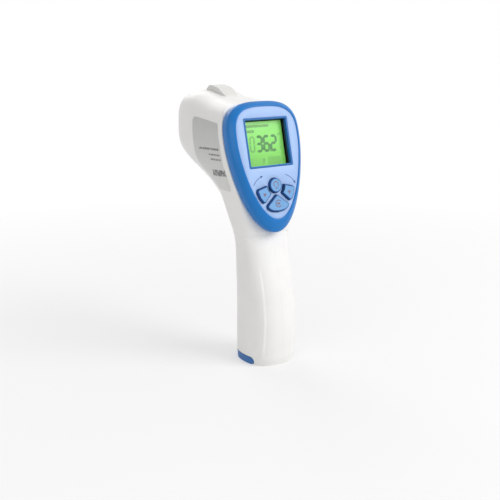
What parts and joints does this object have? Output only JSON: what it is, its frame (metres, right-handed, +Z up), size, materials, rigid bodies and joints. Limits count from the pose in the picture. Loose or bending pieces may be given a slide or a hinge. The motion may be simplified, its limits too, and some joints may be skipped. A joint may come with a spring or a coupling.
{
  "type": "digital thermometer",
  "caption": "Pistol-shaped non-contact infrared thermometer with tilted display panel, pressable keys, trigger and hinged battery door.",
  "frame": {"origin": "on the floor plane, below the middle of the whole object's bounding box", "axes": "+Z up along the grip, the display faces -Y leaning back, the sensor nose points along +Y, the two shells meet at X = 0"},
  "size_m": [0.045, 0.0782, 0.1452],
  "materials": {
    "shell_white": "satin moulded",
    "rim_blue": "satin gloss",
    "face_blue": "fine matt",
    "key_blue": "satin rubber",
    "print_blue": "printed ink",
    "lcd_green": "reflective display",
    "lens_clear": "clear polished",
    "segment_dark": "display figure",
    "diffuser_white": "smooth",
    "strip_pink": "layered rubber",
    "board_green": "solder mask",
    "steel": "plated",
    "chip_black": "moulded epoxy",
    "part_tan": "ceramic and nylon",
    "ridge_grey": "satin moulded",
    "label_grey": "printed film",
    "cone_metal": "polished",
    "holder_black": "moulded",
    "can_metal": "gold flash",
    "filter_dark": "coated window",
    "gasket_black": "soft",
    "lead_red": "insulation",
    "lead_black": "insulation",
    "contact_brass": "spring brass",
    "box_grey": "moulded",
    "cell_blue": "printed sleeve"
  },
  "bodies": {
    "housing": {"left_shell": "shell_white", "right_shell": "shell_white", "rim_bezel": "rim_blue", "face_plate": "face_blue", "window_frame": "rim_blue", "window_lens": "lens_clear", "lcd_glass": "lcd_green", "lcd_segments": "segment_dark", "backlight": "diffuser_white", "contact_strips": "strip_pink", "main_board": "board_green", "board_screws": "steel", "main_chip": "chip_black", "board_parts": "part_tan", "buzzer": "chip_black", "key_switches": "chip_black", "face_print": "print_blue", "top_ridge": "ridge_grey", "side_label": "label_grey", "nose_ring": "rim_blue", "reflector_cone": "cone_metal", "sensor_holder": "holder_black", "thermopile": "can_metal", "sensor_filter": "filter_dark", "sensor_board": "board_green", "sensor_gasket": "gasket_black", "sensor_leads": "lead_red", "trigger_switch": "chip_black", "trigger_board": "board_green", "trigger_screws": "steel", "hinge_pin": "steel", "battery_box": "box_grey", "battery_cells": "cell_blue", "cell_contacts": "contact_brass", "cell_springs": "steel", "battery_leads": "lead_black", "housing_screws": "steel"},
    "round_key": {"round_key": "key_blue"},
    "left_key": {"left_key": "key_blue"},
    "right_key": {"right_key": "key_blue"},
    "bottom_key": {"bottom_key": "key_blue"},
    "trigger": {"trigger": "rim_blue"},
    "battery_door": {"battery_door": "rim_blue", "door_contact": "contact_brass"}
  },
  "joints": [
    {"name": "round_key_press", "type": "slide", "parent": "housing", "child": "round_key", "axis": [0, 0.9703, -0.2419], "range_m": [0, 0.0008], "stiffness_N_per_m": 1500, "springref_m": -0.0004},
    {"name": "left_key_press", "type": "slide", "parent": "housing", "child": "left_key", "axis": [0, 0.9703, -0.2419], "range_m": [0, 0.0008], "stiffness_N_per_m": 1500, "springref_m": -0.0004},
    {"name": "right_key_press", "type": "slide", "parent": "housing", "child": "right_key", "axis": [0, 0.9703, -0.2419], "range_m": [0, 0.0008], "stiffness_N_per_m": 1500, "springref_m": -0.0004},
    {"name": "bottom_key_press", "type": "slide", "parent": "housing", "child": "bottom_key", "axis": [0, 0.9703, -0.2419], "range_m": [0, 0.0008], "stiffness_N_per_m": 1500, "springref_m": -0.0004},
    {"name": "trigger_pull", "type": "slide", "parent": "housing", "child": "trigger", "axis": [0, -1, 0], "range_m": [0, 0.002], "stiffness_N_per_m": 600, "springref_m": -0.001},
    {"name": "battery_door_hinge", "type": "hinge", "parent": "housing", "child": "battery_door", "pos_m": [0, -0.02827, 0.002], "axis": [-1, 0, 0], "range_deg": [0, 90]}
  ]
}
